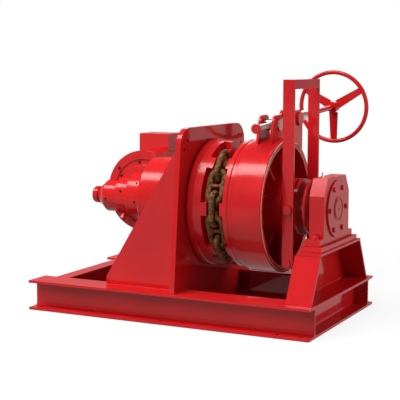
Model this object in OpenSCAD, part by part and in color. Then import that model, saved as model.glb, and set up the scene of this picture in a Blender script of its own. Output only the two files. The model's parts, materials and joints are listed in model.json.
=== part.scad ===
// Hydraulic chain winch on a welded skid, with a claw clutch and a band brake.
// +X runs along the drum shaft towards the bearing end, -Y is the front, +Z is up.
// The origin is on the floor, at the middle of the skid and under the shaft.

/* [Skid] */
// Overall length of the skid
skid_l = 1620; // [1600:10:1700]
// Overall width of the skid
skid_w = 970; // [950:10:1000]
// Height of every beam
beam_h = 160; // [150:2:170]
// Flange width of the side beams and the right cross beam
beam_b = 160; // [150:2:170]
// Flange thickness of the wide beams
beam_tf = 13; // [11:1:16]
// Web thickness of the wide beams
beam_tw = 8; // [6:1:10]
// Root radius of the wide beams
beam_root = 15; // [10:1:18]
// Flange width of the narrow cross beams
cross_b = 82; // [76:1:90]
// Flange thickness of the narrow cross beams
cross_tf = 7.4; // [6:0.2:9]
// Web thickness of the narrow cross beams
cross_tw = 5; // [4:0.5:7]
// Root radius of the narrow cross beams
cross_root = 9; // [6:1:10]
// Distance from the left end of the skid to the left cross beam
cross_inset = 74; // [60:1:90]
// Diameter of the foundation holes
base_hole_d = 22; // [18:1:26]
// Distance of the corner holes from the skid's ends
base_hole_inset = 55; // [45:1:65]
// Distance of the foundation holes from the skid's sides
base_hole_edge = 38; // [34:1:42]

/* [Gearbox plate] */
// Place of the plate's gearbox face along the shaft
plate_x = 42; // [34:1:50]
// Thickness of the plate
plate_t = 28; // [22:1:30]
// Width of the plate where it stands on the beams
plate_w = 930; // [900:5:940]
// Width of the plate at its top
plate_top_w = 756; // [720:4:800]
// Height of the plate above the beams
plate_h = 836; // [820:4:850]
// Radius of the plate's top corners
plate_corner_r = 100; // [70:5:130]
// Gap under the plate's tongue
tongue_floor_gap = 15; // [10:1:30]
// Gap between the tongue and the side beams
tongue_side_gap = 3; // [2:0.5:6]
// Diameter of the small holes in the plate's top corners
guard_hole_d = 18; // [12:1:22]
// Distance from the shaft's plane to a gusset's outer face
gusset_y = 378; // [370:1:400]
// Thickness of a gusset
gusset_t = 15; // [10:1:20]
// Length of a gusset along the beam
gusset_l = 424; // [380:2:440]
// Height of a gusset above the beams
gusset_h = 717; // [690:1:740]
// Height of the gusset's toe
gusset_toe = 42; // [30:1:60]
// Width of the gusset's tip at its top
gusset_tip = 10; // [8:1:20]
// Radius of the gusset's corner cut
gusset_cut_r = 38; // [30:1:45]

/* [Shaft] */
// Height of the shaft above the floor
shaft_z = 587; // [580:1:594]
// Radius of the drive shaft
shaft_r = 60; // [56:1:62]
// Radius of the shaft in its bearing
journal_r = 50; // [46:1:52]
// Radial clearance of a running fit
run_gap = 0.05; // [0.02:0.01:0.08]
// Radial clearance of a fixed seat
seat_gap = 0.05; // [0.02:0.01:0.08]
// Radius of the stop disc
stop_r = 144; // [136:1:148]
// Thickness of the stop disc
stop_t = 18; // [14:1:19]
// Width of a feather key
key_w = 20; // [16:1:22]
// Height of a feather key above the shaft
key_rise = 8; // [6:1:9]

/* [Chain wheel and drum] */
// Gap between the plate and the chain wheel
wheel_gap = 8; // [6:1:12]
// Width of the chain wheel
wheel_w = 249; // [245:1:252]
// Outer radius of the chain wheel's flanges
wheel_r = 339; // [337:1:342]
// Width of the left flange's rim
wheel_rim_w = 28; // [20:1:34]
// Distance from the chain wheel's left face to its pockets
wheel_left_w = 74; // [68:1:76]
// Width of the right flange between the pockets and the drum
wheel_right_w = 52; // [46:1:53]
// Distance from the chain wheel's left face to the middle of the chain
chain_inset = 142; // [141:1:143]
// Diameter of the chain's wire
wire_d = 29; // [28.6:0.1:29.2]
// Radius from the shaft to the middle of the chain
pitch_r = 303; // [302:0.5:304]
// Outer length of a link
link_l = 192; // [190:0.5:192.5]
// Outer width of a link
link_w = 104; // [103.8:0.1:104.4]
// Number of chain pockets round the wheel
pockets = 8; // [8:1:8]
// Outer radius of the brake drum
drum_r = 335; // [334:0.5:335.5]
// Width of the brake drum
drum_w = 165; // [162:1:168]
// Thickness of the drum's rim
drum_rim_t = 20; // [14:1:26]
// Thickness of the drum's web
drum_web_t = 24; // [18:1:30]
// Outer radius of the drum's hub
hub_r = 147; // [142:1:150]
// Wall of a hub bush
bush_t = 10; // [8:1:12]

/* [Clutch and lever] */
// Thickness of the dog ring and of the clutch jaws
jaw_t = 20; // [17:1:22]
// Inner radius of the jaws
jaw_r = 100; // [95:1:110]
// Gap between the jaws when the clutch is out
jaw_gap = 3; // [2:0.5:4]
// Width of the clutch sleeve's body
sleeve_w = 56; // [50:1:60]
// Width of the sleeve's shifter groove
groove_w = 16; // [14:0.5:18]
// Depth of the sleeve's shifter groove
groove_t = 27; // [24:1:30]
// Width of a lever bar
lever_w = 60; // [52:1:62]
// Thickness of a lever bar
lever_t = 15; // [12:1:18]
// Distance from the shaft's plane to a lever bar's outer face
lever_y = 180; // [176:1:184]
// Height of the lever's top
lever_top = 1243; // [1220:1:1260]
// Height of the lever's pivot
lever_pivot_z = 314; // [305:1:325]
// Height of the lever's cross bar
lever_bar_h = 48; // [40:1:56]
// Radius of the lever's pivot pins
pivot_r = 12; // [10:0.5:14]
// Radius of the heads on the shifter pins
shift_head_r = 24; // [18:1:25]

/* [Bearing end] */
// Place of the bearing housing's inner face along the shaft
housing_x = 689; // [685:1:693]
// Width of the bearing housing along the shaft
housing_w = 78; // [74:1:82]
// Width of the bearing housing
housing_b = 370; // [360:2:380]
// Width of the bearing housing's top
housing_top_b = 264; // [250:2:280]
// Height of the housing's top above the shaft
housing_rise = 164; // [160:1:170]
// Height of the housing's shoulders above the shaft
shoulder_rise = 78; // [70:1:90]
// Length of the housing's foot across the shaft
foot_b = 482; // [470:2:500]
// Thickness of the housing's foot
foot_t = 33; // [28:1:38]
// Depth of the foot's lower face under the shaft
foot_drop = 167; // [165:0.5:170]
// Radius of the bearing's outer ring
bearing_r = 95; // [90:1:98]
// Radius of the bearing cover
cover_r = 147; // [142:1:150]
// Thickness of the bearing cover
cover_t = 8; // [6:1:12]
// Radius of the cover's bolt circle
cover_pcd_r = 118; // [114:1:122]
// Thickness of the shim under the housing
shim_t = 25; // [20:1:30]
// Thickness of the pedestal's top plate
top_t = 12; // [10:1:16]
// Thickness of the pedestal's legs and web
leg_t = 13; // [10:1:16]
// Distance from the shaft's plane to a leg's outer foot
leg_foot_y = 424; // [415:1:435]
// Distance from the shaft's plane to a leg's outer top
leg_top_y = 302; // [290:1:310]
// Width of the pedestal along the shaft
leg_w = 135; // [125:1:140]

/* [Band brake] */
// Outer radius of the brake band
band_r = 350; // [349:0.5:352]
// Thickness of the brake band
band_t = 7; // [6:0.5:8]
// Thickness of the brake lining
lining_t = 5.7; // [5:0.1:6]
// Width of the brake band
band_w = 153; // [148:1:155]
// Distance of the anchor pin from the shaft's axis
anchor_reach = 384; // [383:0.5:389]
// Turn of the anchor pin from straight under the shaft towards the rear, in degrees
anchor_turn = 28; // [26:1:30]
// Radius of the anchor pin
anchor_r = 18; // [15:0.5:20]
// Radius of the eyes on the anchor pin
eye_r = 30; // [27:0.5:31]
// Place of the front trunnion across the shaft
front_lug_y = -31; // [-36:1:-26]
// Place of the rear trunnion across the shaft
rear_lug_y = 244; // [238:1:250]
// Height of the front trunnion above the shaft
lug_rise = 422.5; // [418:0.5:428]
// Radius of the corners on a lug's top
lug_r = 50; // [46:1:52]
// Length of the flat on a lug's top
lug_flat = 25; // [15:1:30]
// Thickness of a lug
lug_t = 14; // [10:1:16]
// Free width between the two lugs of a pair
lug_space = 60; // [58:1:66]
// Slope of the brake spindle in degrees
spindle_slope = 3.8; // [3.4:0.1:4.2]
// Radius of the brake spindle
spindle_r = 15; // [13:0.5:16]
// Clearance of the spindle in the front trunnion
nut_gap = 2.6; // [2.5:0.1:3]
// Radius of a trunnion
trunnion_r = 30; // [28:0.5:32]
// Radius of the thrust sleeve on the spindle
thrust_r = 27; // [24:0.5:28]
// Distance from the rear trunnion to the handwheel
handwheel_l = 661.5; // [640:1:680]
// Outer radius of the handwheel
handwheel_r = 216; // [200:1:225]
// Radius of the handwheel's rim tube
rim_r = 12.5; // [10:0.5:15]
// Radius of the handwheel's hub
wheel_hub_r = 32; // [28:1:36]

/* [Gearbox and motor] */
// Radius of the gearbox
gear_r = 230; // [222:1:236]
// Length of the gearbox behind the plate
gear_l = 325; // [318:1:335]
// Radius of the gearbox spigot in the plate
spigot_r = 150; // [140:1:160]
// Radius of the first input stage
stage_a_r = 143; // [138:1:150]
// Length of the first input stage
stage_a_l = 127; // [120:1:132]
// Radius of the second input stage
stage_b_r = 112; // [106:1:118]
// Length of the second input stage
stage_b_l = 89; // [84:1:94]
// Radius of the brake housing
brake_r = 90; // [84:1:96]
// Length of the brake housing
brake_l = 82; // [78:1:92]
// Radius of the nose cap
nose_r = 47; // [42:1:52]
// Length of the nose cap
nose_l = 35; // [30:1:40]
// Length of the cone behind the nose cap
cone_l = 64; // [56:1:68]
// Place of the motor's axis along the shaft
motor_x = -366; // [-374:1:-358]
// Height of the motor's axis above the shaft
motor_rise = 35; // [30:1:40]
// Outer radius of the motor
motor_r = 224; // [220:1:228]
// Depth of the motor across the shaft
motor_d = 313; // [300:1:320]
// Distance from the motor's axis to the valve block's middle, towards the left
valve_shift = 19; // [14:1:24]
// Length of the valve block along the shaft
valve_l = 188; // [180:1:196]
// Depth of the valve block across the shaft
valve_d = 160; // [150:1:170]
// Height of the valve block's top above the motor
valve_h = 85; // [80:1:95]
// Thickness of the valve block's lid
valve_lid_t = 6; // [4:1:10]

/* [Hidden] */
$fn = 96;

// Overrun of every cut past the face that it opens
cut = 1;
// Free space between faces that move past each other
free_gap = 0.3;
// Red of the painted steel
red = "#c81e22";
// Brown of the rusty chain
rust = "#6b4a28";
// Grey of bare and plated steel
steel = "#a9adb2";
// Beige of the brake lining
beige = "#c8aa8c";

// Places along the shaft, each worked out from the piece before it
plate_face = plate_x + plate_t;
wheel_x = plate_face + wheel_gap;
wheel_end = wheel_x + wheel_w;
drum_end = wheel_end + drum_w;
band_x = drum_end - band_w;
band_mid = band_x + band_w / 2;
hub_inset = 13;
hub_end = drum_end - hub_inset;
dog_end = hub_end + jaw_t;
jaw_tip = dog_end + jaw_t;
sleeve_x = jaw_tip + jaw_gap + jaw_t;
sleeve_end = sleeve_x + sleeve_w;
shift_x = sleeve_x + sleeve_w / 2;
stop_gap = 32;
stop_x = sleeve_end + stop_gap;
stop_end = stop_x + stop_t;
housing_end = housing_x + housing_w;
leg_overhang = 28;
leg_x = housing_x - leg_overhang;

// Places across the shaft and heights
side_y = skid_w / 2;
inner_y = side_y - beam_b;
foot_z = shaft_z - foot_drop;
shim_z = foot_z - shim_t;
top_z = shim_z - top_t;
mid_hole_shares = [-0.01, 0.07, 0.39];

// Turns a drawing in the Y-Z plane and its depth so that the depth runs along +X
module along_x(x) { translate([x, 0, 0]) rotate([90, 0, 90]) children(); }

// The same, centred on the shaft
module on_shaft(x) { translate([x, 0, shaft_z]) rotate([90, 0, 90]) children(); }

// Turns a drawing in the X-Z plane so that its depth runs from y towards -Y
module along_y(y) { translate([0, y, 0]) rotate([90, 0, 0]) children(); }

// Flat ring drawn along the shaft
module ring(r_out, r_in, l) {
    difference() {
        cylinder(r = r_out, h = l);
        translate([0, 0, -cut]) cylinder(r = r_in, h = l + 2 * cut);
    }
}

// Screw head with its hexagon, standing on its face
module hex_head(r, h) { cylinder(r = r, h = h, $fn = 6); }

// Copies its child round the local axis
module around(count, r, start = 0) {
    for (i = [0 : count - 1]) rotate([0, 0, start + i * 360 / count]) translate([r, 0, 0]) children();
}

// Skid

// Outline of a rolled I-section standing on the floor, centred across
module i_section(h, b, tf, tw, root) {
    translate([-b / 2, 0]) square([b, tf]);
    translate([-b / 2, h - tf]) square([b, tf]);
    translate([-tw / 2, 0]) square([tw, h]);
    for (s = [-1, 1], top = [0, 1])
        translate([0, top * h]) mirror([0, top]) translate([s * tw / 2, tf])
            difference() {
                translate([min(0, s * root), 0]) square([root, root]);
                translate([s * root, root]) circle(r = root);
            }
}

module side_beam(side) {
    color(red) difference() {
        translate([0, side * (side_y - beam_b / 2), 0]) along_x(-skid_l / 2) linear_extrude(skid_l)
            i_section(beam_h, beam_b, beam_tf, beam_tw, beam_root);
        for (x = concat([for (s = mid_hole_shares) s * skid_l], [-1, 1] * (skid_l / 2 - base_hole_inset)))
            translate([x, side * (side_y - base_hole_edge), -cut])
                cylinder(d = base_hole_d, h = beam_tf + 2 * cut);
    }
}

module front_beam() { side_beam(-1); }
module rear_beam() { side_beam(1); }

// Cross beam between the side beams; its web runs on to their webs
module cross_beam(x, b, tf, tw, root) {
    web_reach = side_y - beam_b / 2 - beam_tw / 2;
    snipe = beam_root;
    color(red) {
        translate([x, inner_y, 0]) rotate([90, 0, 0]) linear_extrude(2 * inner_y)
            i_section(beam_h, b, tf, tw, root);
        along_x(x - tw / 2) linear_extrude(tw) polygon([
            [-web_reach + snipe, beam_tf], [web_reach - snipe, beam_tf],
            [web_reach, beam_tf + snipe], [web_reach, beam_h - beam_tf - snipe],
            [web_reach - snipe, beam_h - beam_tf], [-web_reach + snipe, beam_h - beam_tf],
            [-web_reach, beam_h - beam_tf - snipe], [-web_reach, beam_tf + snipe]]);
    }
}

module left_cross_beam() {
    cross_beam(-skid_l / 2 + cross_inset + cross_b / 2, cross_b, cross_tf, cross_tw, cross_root);
}
module middle_cross_beam() {
    cross_beam(plate_x - cross_b / 2, cross_b, cross_tf, cross_tw, cross_root);
}
module right_cross_beam() {
    cross_beam(skid_l / 2 - beam_b / 2, beam_b, beam_tf, beam_tw, beam_root);
}

// Gearbox plate and gussets

plate_top = beam_h + plate_h;
plate_lean = atan((plate_w - plate_top_w) / 2 / plate_h);
plate_reach = plate_w / 2 * cos(plate_lean) + beam_h * sin(plate_lean);
corner_z = plate_top - plate_corner_r;
corner_y = (plate_reach - plate_corner_r - corner_z * sin(plate_lean)) / cos(plate_lean);
corner_tangent = [corner_y + plate_corner_r * cos(plate_lean),
    corner_z + plate_corner_r * sin(plate_lean)];
guard_share = [[0.815, 0.92], [0.905, 0.87]];

module gearbox_plate() {
    tongue = inner_y - tongue_side_gap;
    color(red) along_x(plate_x) linear_extrude(plate_t) difference() {
        union() {
            for (s = [-1, 1]) mirror([s < 0 ? 1 : 0, 0]) {
                polygon([[0, beam_h], [plate_w / 2, beam_h], corner_tangent,
                    [corner_y, plate_top], [0, plate_top]]);
                polygon([[corner_y, plate_top], [corner_y, corner_z], corner_tangent]);
                translate([corner_y, corner_z]) circle(r = plate_corner_r);
            }
            translate([-tongue, tongue_floor_gap])
                square([2 * tongue, beam_h - tongue_floor_gap]);
        }
        translate([0, shaft_z]) circle(r = spigot_r + seat_gap);
        for (s = [-1, 1], p = guard_share)
            translate([s * p[0] * plate_top_w / 2, beam_h + p[1] * plate_h])
                circle(d = guard_hole_d);
    }
}

module gusset(side) {
    tail = plate_x - gusset_l;
    color(red) along_y(side > 0 ? gusset_y : -gusset_y + gusset_t) linear_extrude(gusset_t)
        difference() {
            polygon([[tail, beam_h], [plate_x, beam_h], [plate_x, beam_h + gusset_h],
                [plate_x - gusset_tip, beam_h + gusset_h], [tail, beam_h + gusset_toe]]);
            translate([plate_x, beam_h]) circle(r = gusset_cut_r);
        }
}

module front_gusset() { gusset(-1); }
module rear_gusset() { gusset(1); }

// Gearbox, input stages and motor

gear_x = plate_x - gear_l;
gear_wall = 24;
gear_end_t = 22;
gear_front_t = 30;
seal_r = 90;
carrier_r = 150;
carrier_t = 36;
gear_screw_r = 9;
stage_flange = 10;
stage_a_x = gear_x - stage_a_l;
stage_b_x = stage_a_x - stage_b_l;
brake_x = stage_b_x - brake_l;
cone_x = brake_x - cone_l;
nose_x = cone_x - nose_l;
nose_neck_r = 40;
nose_round = 12;

module gearbox_housing() {
    rim = 8;
    color(red) on_shaft(0) rotate_extrude() polygon([
        [seal_r, plate_x - gear_front_t], [gear_r - gear_wall, plate_x - gear_front_t],
        [gear_r - gear_wall, gear_x + gear_end_t], [0, gear_x + gear_end_t], [0, gear_x],
        [gear_r - rim, gear_x], [gear_r, gear_x + rim], [gear_r, plate_x],
        [spigot_r, plate_x], [spigot_r, plate_face - rim / 2], [seal_r, plate_face - rim / 2]]);
}

module output_bearing() {
    color(steel) on_shaft(plate_x - gear_front_t)
        ring(seal_r - seat_gap, shaft_r + run_gap, plate_t + gear_front_t / 2);
}

// Screws round the front half of the gearbox's rear face; the motor covers the other half
module gearbox_screws() {
    screw_ring = (gear_r + stage_a_r + stage_flange) / 2;
    head = 10;
    color(red) on_shaft(gear_x - head) for (a = [105 : 30 : 255])
        rotate([0, 0, a]) translate([screw_ring, 0, 0]) hex_head(gear_screw_r, head);
}

// Two stepped stages in one line with the shaft
module input_stages() {
    rim = 6;
    color(red) on_shaft(0) rotate_extrude() polygon([
        [0, gear_x], [stage_a_r + stage_flange, gear_x],
        [stage_a_r + stage_flange, gear_x - stage_flange], [stage_a_r, gear_x - stage_flange],
        [stage_a_r, stage_a_x + rim], [stage_a_r - rim, stage_a_x],
        [stage_b_r, stage_a_x], [stage_b_r, stage_b_x + rim], [stage_b_r - rim, stage_b_x],
        [0, stage_b_x]]);
}

module brake_housing() {
    color(red) on_shaft(0) rotate_extrude() polygon([
        [0, stage_b_x], [brake_r, stage_b_x], [brake_r, brake_x], [nose_neck_r, cone_x],
        [0, cone_x]]);
}

module nose_cap() {
    color(red) on_shaft(nose_x) rotate_extrude() union() {
        translate([0, nose_round]) square([nose_r, nose_l - nose_round]);
        square([nose_r - nose_round, nose_round]);
        translate([nose_r - nose_round, nose_round]) circle(r = nose_round);
    }
}

plug_r = 6;
plug_h = 5;

// Plugs on the outside of the stages
module stage_plugs() {
    color(steel) for (p = [[stage_a_x + stage_a_l / 2, stage_a_r, 142],
            [stage_a_x + stage_a_l / 2, stage_a_r, 185], [stage_b_x + stage_b_l / 2, stage_b_r, 160],
            [brake_x + 3 * plug_r, brake_r, 187]])
        on_shaft(p[0]) difference() {
            rotate([0, 0, p[2]]) translate([p[1] - plug_h / 2, 0, 0]) rotate([0, 90, 0])
                hex_head(plug_r, 3 * plug_h / 2);
            translate([0, 0, -2 * plug_r]) cylinder(r = p[1] + seat_gap, h = 4 * plug_r);
        }
}

motor_z = shaft_z + motor_rise;
motor_front = 5;
motor_ring_r = 209;
motor_well_r = 176;
motor_boss_r = 147;
motor_boss_rise = 22;
motor_boss_round = 8;
motor_screw_shares = [[0.855, 141, 2], [0.717, 98, 1], [0.717, 151, 1]];

// Space that the stages in line with the shaft take from the motor
module stage_space(grow) {
    on_shaft(0) rotate_extrude() polygon([
        [0, gear_x + cut], [gear_r + grow, gear_x + cut], [gear_r + grow, gear_x - grow],
        [stage_a_r + stage_flange + grow, gear_x - grow],
        [stage_a_r + stage_flange + grow, gear_x - stage_flange - grow],
        [stage_a_r + grow, gear_x - stage_flange - grow], [stage_a_r + grow, stage_a_x - grow],
        [stage_b_r + grow, stage_a_x - grow], [stage_b_r + grow, stage_b_x - grow],
        [brake_r + grow, stage_b_x - grow], [brake_r + grow, brake_x - grow],
        [nose_neck_r + grow, cone_x - grow], [nose_r + grow, cone_x - grow],
        [nose_r + grow, nose_x - grow], [0, nose_x - grow]]);
}

module motor_body() {
    color(red) difference() {
        translate([motor_x, motor_d, motor_z]) rotate([90, 0, 0]) cylinder(r = motor_r, h = motor_d);
        stage_space(seat_gap);
        translate([gear_x, -cut, 0]) cube([gear_l, motor_d + 2 * cut, shaft_z + gear_r + motor_r]);
    }
}

// Front cover of the motor, turned with a raised ring and a boss
module motor_cover() {
    color(red) difference() {
        translate([motor_x, 0, motor_z]) rotate([90, 0, 0]) rotate_extrude() polygon([
            [0, 0], [motor_r, 0], [motor_r, motor_front], [motor_ring_r, motor_front],
            [motor_ring_r, 2 * motor_front], [motor_well_r, 2 * motor_front],
            [motor_well_r, motor_front], [motor_boss_r, motor_front],
            [motor_boss_r, motor_boss_rise - motor_boss_round],
            [motor_boss_r - motor_boss_round, motor_boss_rise], [0, motor_boss_rise]]);
        stage_space(seat_gap);
        translate([gear_x, -motor_d, 0]) cube([gear_l, 2 * motor_d, shaft_z + gear_r + motor_r]);
    }
}

// Screws in the motor's cover that the stages leave free
module motor_screws() {
    head = 8;
    screw_r = 6;
    color(steel) translate([motor_x, 0, motor_z]) rotate([90, 0, 0])
        for (p = motor_screw_shares) rotate([0, 0, p[1]])
            translate([p[0] * motor_r, 0, p[2] * motor_front]) cylinder(r = screw_r, h = head);
}

valve_x = motor_x - valve_shift - valve_l / 2;
valve_top = motor_z + motor_r + valve_h;
valve_foot = 44;

module valve_block() {
    color(red) difference() {
        translate([valve_x, motor_d - valve_d, motor_z + motor_r - valve_foot])
            cube([valve_l, valve_d, valve_foot + valve_h - valve_lid_t]);
        translate([motor_x, motor_d + cut, motor_z]) rotate([90, 0, 0])
            cylinder(r = motor_r + seat_gap, h = motor_d + 2 * cut);
    }
}

valve_screw_r = 7;
valve_screw_inset = 14;

// Puts a piece at each corner of the valve block's lid, from the block's top upwards
module at_valve_screws() {
    for (sx = [valve_screw_inset, valve_l - valve_screw_inset],
            sy = [valve_screw_inset, valve_d - valve_screw_inset])
        translate([valve_x + sx, motor_d - valve_d + sy, valve_top - valve_lid_t]) children();
}

module valve_lid() {
    chamfer = 3;
    color(red) difference() {
        translate([valve_x, motor_d - valve_d, valve_top - valve_lid_t]) rotate([90, 0, 90])
            linear_extrude(valve_l) polygon([
                [0, 0], [valve_d, 0], [valve_d, valve_lid_t - chamfer],
                [valve_d - chamfer, valve_lid_t], [chamfer, valve_lid_t], [0, valve_lid_t - chamfer]]);
        at_valve_screws() translate([0, 0, -cut])
            cylinder(r = valve_screw_r + run_gap, h = valve_lid_t + 2 * cut);
    }
}

// Socket screws, sunk in the lid
module valve_screws() {
    color(red) at_valve_screws() difference() {
        cylinder(r = valve_screw_r, h = valve_lid_t - run_gap);
        translate([0, 0, valve_lid_t / 3])
            cylinder(r = valve_screw_r / 2, h = valve_lid_t, $fn = 6);
    }
}

port_r = 17;
port_l = 34;
port_base = 8;
port_bore_r = 9;
port_bore_l = 24;
port_shares = [0.3, 0.7];

// Ports on the valve block's rear and under the second stage
module port_fittings() {
    color(red) {
        for (share = port_shares)
            translate([valve_x + share * valve_l, motor_d, valve_top - valve_h / 2])
                rotate([-90, 0, 0]) difference() {
                    union() {
                        hex_head(port_r, port_l / 2);
                        cylinder(r = port_r - port_base / 2, h = port_l);
                    }
                    translate([0, 0, port_l - port_bore_l]) cylinder(r = port_bore_r, h = port_l);
                }
        translate([stage_b_x + stage_b_l / 2, 0, shaft_z]) rotate([-35, 0, 0])
            difference() {
                translate([0, 0, -stage_b_r - port_l]) union() {
                    cylinder(r = port_r - port_base / 2, h = port_l + port_base);
                    hex_head(port_r, port_l / 2);
                }
                translate([-stage_b_l, 0, 0]) rotate([0, 90, 0])
                    cylinder(r = stage_b_r + seat_gap, h = 2 * stage_b_l);
            }
    }
}

// Pedestal

leg_drop = top_z - beam_h;

// One sloping leg, standing on a side beam
module leg(side) {
    color(red) along_x(leg_x) linear_extrude(leg_w) polygon([
        [side * leg_foot_y, beam_h], [side * leg_top_y, top_z],
        [side * (leg_top_y - leg_t), top_z], [side * (leg_foot_y - leg_t), beam_h]]);
}

module pedestal_front_leg() { leg(-1); }
module pedestal_rear_leg() { leg(1); }

module pedestal_web() {
    color(red) along_x(leg_x) linear_extrude(leg_t) polygon([
        [-leg_foot_y + leg_t, beam_h], [leg_foot_y - leg_t, beam_h],
        [leg_top_y - leg_t, top_z], [-leg_top_y + leg_t, top_z]]);
}

top_lead = 8;
top_b = 606;
shim_b = 534;
bolt_r = 12;
bolt_gap = 1;
bolt_inset = 28;
bolt_x = housing_x + housing_w / 2;
bolt_y = foot_b / 2 - bolt_inset;

module foot_holes() {
    for (s = [-1, 1]) translate([bolt_x, s * bolt_y, 0]) cylinder(r = bolt_r + bolt_gap, h = shaft_z);
}

module pedestal_top_plate() {
    color(red) difference() {
        translate([leg_x + top_lead, -top_b / 2, top_z]) cube([leg_w - top_lead, top_b, top_t]);
        foot_holes();
    }
}

module shim() {
    lead = 10;
    color(red) difference() {
        translate([leg_x + lead, -shim_b / 2, shim_z]) cube([leg_w - 2 * lead, shim_b, shim_t]);
        foot_holes();
    }
}

bearing_inset = 13;
bearing_w = 48;
bearing_x = housing_x + bearing_inset;
seal_gap = 2;
raceway_t = 12;
roller_r = 8.5;
cover_rim = 14;
foot_lead = 5;

module bearing_housing() {
    color(red) difference() {
        union() {
            along_x(housing_x) linear_extrude(housing_w) polygon([
                [-housing_b / 2, foot_z + foot_t], [housing_b / 2, foot_z + foot_t],
                [housing_b / 2, shaft_z + shoulder_rise],
                [housing_top_b / 2, shaft_z + housing_rise],
                [-housing_top_b / 2, shaft_z + housing_rise],
                [-housing_b / 2, shaft_z + shoulder_rise]]);
            translate([housing_x - foot_lead, -foot_b / 2, foot_z])
                cube([housing_w + foot_lead, foot_b, foot_t]);
        }
        on_shaft(bearing_x) cylinder(r = bearing_r + seat_gap, h = housing_w);
        on_shaft(housing_x - cut) cylinder(r = journal_r + seal_gap, h = housing_w);
        foot_holes();
    }
}

module bearing_outer_ring() {
    color(steel) on_shaft(bearing_x) ring(bearing_r, bearing_r - raceway_t, bearing_w);
}

// Cover with a spigot that holds the outer ring
module bearing_cover() {
    spigot = housing_end - bearing_x - bearing_w;
    boss_r = 62;
    boss_t = 3;
    dot_r = 6;
    color(red) difference() {
        union() {
            on_shaft(housing_end) cylinder(r = cover_r, h = cover_t);
            on_shaft(housing_end - spigot) ring(bearing_r - seat_gap, bearing_r - cover_rim, spigot + cut);
            on_shaft(housing_end + cover_t - cut) difference() {
                cylinder(r = boss_r, h = boss_t + cut);
                translate([0, 0, cut]) ring(boss_r - boss_t, boss_r - cover_rim, boss_t + cut);
            }
        }
        on_shaft(housing_end + cover_t) cylinder(r = dot_r, h = boss_t + cut);
    }
}

module cover_screws() {
    screw_r = 13;
    head = 9;
    color(red) on_shaft(housing_end + cover_t) around(6, cover_pcd_r) hex_head(screw_r, head);
}

module foot_bolts() {
    head_r = 20;
    head = 15;
    washer_r = 23;
    washer = 4;
    tail = 12;
    color(red) for (s = [-1, 1]) translate([bolt_x, s * bolt_y, 0]) {
        translate([0, 0, top_z - head - tail])
            cylinder(r = bolt_r, h = foot_z + foot_t - top_z + head + tail + washer);
        translate([0, 0, foot_z + foot_t]) cylinder(r = washer_r, h = washer);
        translate([0, 0, foot_z + foot_t + washer]) hex_head(head_r, head);
        translate([0, 0, top_z - head]) hex_head(head_r, head);
    }
}

module grease_nipple() {
    nipple_r = 6;
    nipple_h = 18;
    nipple_x = 12;
    ball_r = 5;
    color(steel) translate([housing_x + nipple_x, -nipple_h * 2, shaft_z + housing_rise]) {
        hex_head(nipple_r + ball_r / 2, nipple_h / 3);
        cylinder(r = nipple_r / 2, h = nipple_h);
        translate([0, 0, nipple_h]) sphere(r = ball_r);
    }
}

bracket_y = 160;
bracket_t = 15;
bracket_h = 60;
pin_head_r = 19;
pin_head = 8;

// Two plates from the pedestal's web that carry the lever's pivot pins
module lever_brackets() {
    color(red) for (s = [-1, 1]) difference() {
        along_y(s > 0 ? bracket_y : -bracket_y + bracket_t) linear_extrude(bracket_t) union() {
            translate([shift_x, lever_pivot_z - bracket_h / 2]) square([leg_x - shift_x, bracket_h]);
            translate([shift_x, lever_pivot_z]) circle(d = bracket_h);
        }
        along_y(lever_y) translate([shift_x, lever_pivot_z, 0])
            cylinder(r = pivot_r + seat_gap, h = 2 * lever_y);
    }
}

module lever_pivot_pins() {
    washer = lever_y - lever_t - bracket_y - free_gap;
    color(red) for (s = [-1, 1])
        translate([shift_x, 0, lever_pivot_z]) rotate([-s * 90, 0, 0]) {
            translate([0, 0, bracket_y - bracket_t])
                cylinder(r = pivot_r, h = lever_y + pin_head - bracket_y + bracket_t);
            translate([0, 0, bracket_y - bracket_t - pin_head]) hex_head(pin_head_r, pin_head);
            translate([0, 0, bracket_y]) cylinder(r = pin_head_r, h = washer);
            translate([0, 0, lever_y + free_gap]) cylinder(r = pin_head_r, h = pin_head);
        }
}

// Drive shaft and what turns with it

shaft_x = plate_x - gear_front_t - carrier_t;
shaft_end = bearing_x + bearing_w;
key_x = jaw_tip - jaw_t / 2;
key_l = stop_x - key_x - jaw_gap;
key_sink = 8;

module drive_shaft() {
    neck = (housing_x - stop_end) / 2;
    color(steel) difference() {
        on_shaft(0) rotate_extrude() polygon([
            [0, shaft_x], [carrier_r, shaft_x], [carrier_r, shaft_x + carrier_t - free_gap],
            [shaft_r, shaft_x + carrier_t - free_gap], [shaft_r, stop_end],
            [journal_r, stop_end + neck], [journal_r, shaft_end], [0, shaft_end]]);
        on_shaft(key_x) around(4, shaft_r - key_sink)
            translate([0, -key_w / 2, 0]) cube([key_sink + cut, key_w, key_l]);
    }
}

// Four keys that the clutch sleeve slides on
module feather_keys() {
    color(steel) on_shaft(key_x) around(4, shaft_r - key_sink)
        translate([0, -key_w / 2, 0]) cube([key_sink + key_rise, key_w, key_l]);
}

module stop_disc() {
    chamfer = 3;
    color(red) on_shaft(0) rotate_extrude() polygon([
        [shaft_r + seat_gap, stop_x], [stop_r - chamfer, stop_x], [stop_r, stop_x + chamfer],
        [stop_r, stop_end - chamfer], [stop_r - chamfer, stop_end],
        [shaft_r + seat_gap, stop_end]]);
}

module bearing_inner_ring() {
    color(steel) on_shaft(bearing_x + seal_gap)
        ring(bearing_r - raceway_t - 2 * roller_r - 2 * free_gap, journal_r + seat_gap,
            bearing_w - seal_gap);
}

module bearing_rollers() {
    margin = 6;
    track = bearing_r - raceway_t - roller_r - free_gap;
    color(steel) on_shaft(bearing_x + margin) around(20, track)
        cylinder(r = roller_r, h = bearing_w - 2 * margin);
}

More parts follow.
